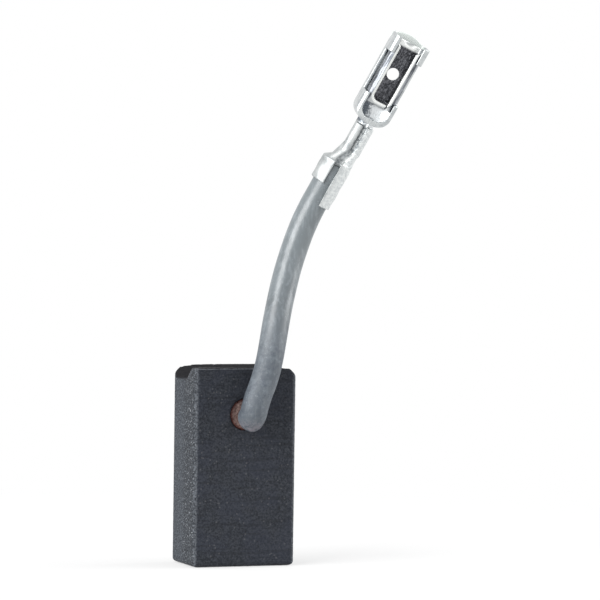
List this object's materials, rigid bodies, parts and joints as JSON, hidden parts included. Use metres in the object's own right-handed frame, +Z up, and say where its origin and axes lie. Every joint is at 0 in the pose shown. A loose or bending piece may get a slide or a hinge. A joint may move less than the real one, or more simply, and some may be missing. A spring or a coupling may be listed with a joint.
{
  "type": "carbon brush",
  "caption": "Carbon motor brush: block with a diagonal spring groove on top, a sleeved copper lead from its side and a crimped tab receptacle.",
  "frame": {"origin": "centre of the wear face at the bottom of the block", "axes": "+Z up the block, away from the commutator; +X along the 8 mm width, towards the side that the lead leans to; -Y out of the face that the lead leaves"},
  "size_m": [0.0169, 0.0093, 0.0399],
  "materials": {
    "carbon": "matte, fine grain, with speckled ground faces",
    "tamped_copper": "tamped powder, matte, dull red-brown",
    "copper_strand": "fine stranded copper, satin",
    "silicone": "smooth semi-gloss silicone rubber",
    "tinned_brass": "bright tin plating, with tool marks at the crimps",
    "spring_steel": "bright rolled stainless sheet"
  },
  "bodies": {
    "root": {"carbon_block": "carbon", "copper_tamping": "tamped_copper", "copper_flex": "copper_strand", "insulating_sleeve": "silicone", "terminal_contact": "tinned_brass", "terminal_spring": "spring_steel"}
  },
  "joints": []
}
